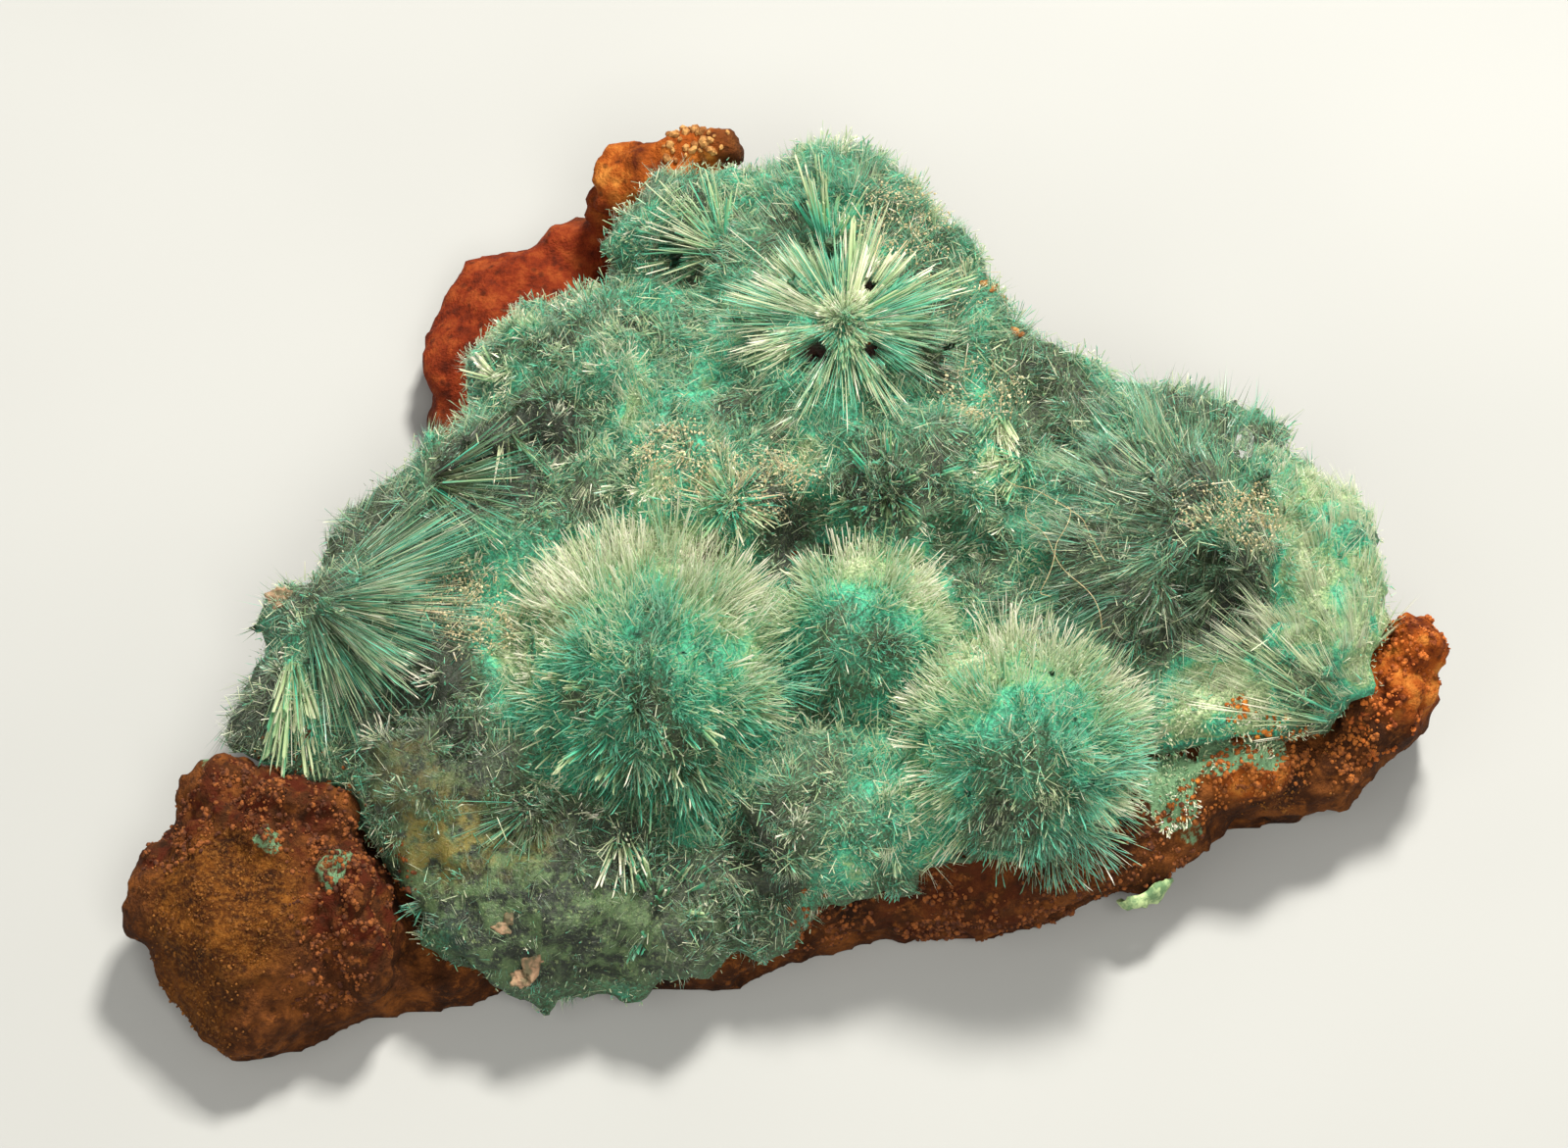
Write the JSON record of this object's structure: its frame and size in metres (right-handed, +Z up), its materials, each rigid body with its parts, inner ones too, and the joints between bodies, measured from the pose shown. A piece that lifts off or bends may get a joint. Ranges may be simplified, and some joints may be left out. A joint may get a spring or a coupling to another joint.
{
  "type": "aurichalcite specimen",
  "caption": "Mineral specimen: a crust of blue-green acicular crystal sprays on a lump of brown limonite, cut flat underneath to rest on.",
  "frame": {"origin": "centre of the bounding box's bottom, on the plane that the specimen rests on", "axes": "+X to the specimen's right along its length, +Y to its back, +Z up out of the crystal crust"},
  "size_m": [0.0638, 0.0485, 0.0169],
  "materials": {
    "limonite": "earthy matt brown iron oxide, ochre to rust",
    "aurichalcite": "silky blue-green needles with pale tips",
    "pale_aurichalcite": "pale green fine-grained crust"
  },
  "bodies": {
    "root": {"limonite_matrix": "limonite", "aurichalcite_crust": "aurichalcite", "underside_crust": "pale_aurichalcite"}
  },
  "joints": []
}
